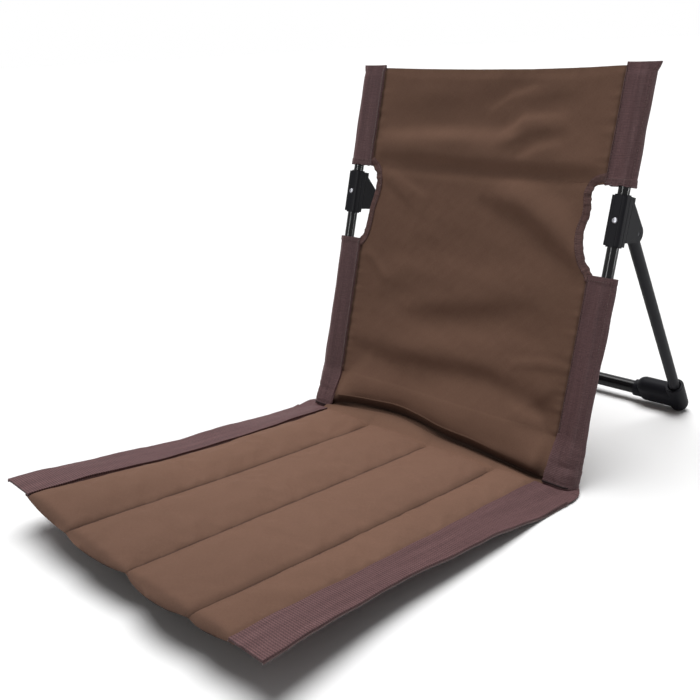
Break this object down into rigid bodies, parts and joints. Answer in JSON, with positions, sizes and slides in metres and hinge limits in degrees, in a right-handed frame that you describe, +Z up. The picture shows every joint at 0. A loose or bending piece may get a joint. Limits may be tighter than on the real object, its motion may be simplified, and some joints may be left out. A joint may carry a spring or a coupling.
{
  "type": "folding floor lounger",
  "caption": "Low folding lounger: reclined cloth back on side tubes, quilted seat pad hinged at the crease, and a tubular rear support that folds flat.",
  "frame": {"origin": "middle of the footprint, on the floor", "axes": "+Z up; the lounger faces -Y. Node names use right for +X, as seen from in front"},
  "size_m": [0.404, 0.7182, 0.4284],
  "materials": {
    "gloss_black_tube": "gloss black powder coat on steel tube",
    "dark_grey_tube": "matt dark grey powder coat on steel tube",
    "black_plastic": "satin moulded plastic",
    "rivet_aluminium": "bright blind rivet",
    "pin_steel": "blackened steel",
    "back_cloth": "coated plain-weave cloth, brown",
    "seat_cloth": "coated plain-weave cloth, brown",
    "seat_base_cloth": "coated plain-weave cloth, dark brown",
    "foam": "soft foam strip",
    "webbing": "ribbed webbing, purple brown"
  },
  "bodies": {
    "back": {"side_tube_left": "gloss_black_tube", "side_tube_right": "gloss_black_tube", "lower_crossbar": "gloss_black_tube", "corner_elbow_left": "black_plastic", "corner_elbow_right": "black_plastic", "tube_cap_left": "black_plastic", "tube_cap_right": "black_plastic", "pivot_bracket_left": "black_plastic", "pivot_bracket_right": "black_plastic", "bracket_rivets": "rivet_aluminium", "pivot_pins": "pin_steel", "back_panel": "back_cloth", "panel_lower_hem": "back_cloth", "upper_sleeve_left": "webbing", "upper_sleeve_right": "webbing", "lower_sleeve_left": "webbing", "lower_sleeve_right": "webbing", "notch_binding_left": "webbing", "notch_binding_right": "webbing"},
    "support_frame": {"strut_left": "dark_grey_tube", "strut_right": "dark_grey_tube", "rear_crossbar": "gloss_black_tube", "rear_foot_left": "black_plastic", "rear_foot_right": "black_plastic"},
    "seat": {"seat_top_cover": "seat_cloth", "seat_bottom_cover": "seat_base_cloth", "seat_front_hem": "seat_cloth", "seat_foam_1": "foam", "seat_foam_2": "foam", "seat_foam_3": "foam", "seat_foam_4": "foam", "seat_tape_left": "webbing", "seat_tape_right": "webbing"}
  },
  "joints": [
    {"name": "support_fold", "type": "hinge", "parent": "back", "child": "support_frame", "pos_m": [0, 0.18707, 0.25878], "axis": [-1, 0, 0], "range_deg": [0, 48.45]},
    {"name": "seat_fold", "type": "hinge", "parent": "back", "child": "seat", "pos_m": [0, 0.06944, 0.0041], "axis": [-1, 0, 0], "range_deg": [0, 99.2]}
  ]
}
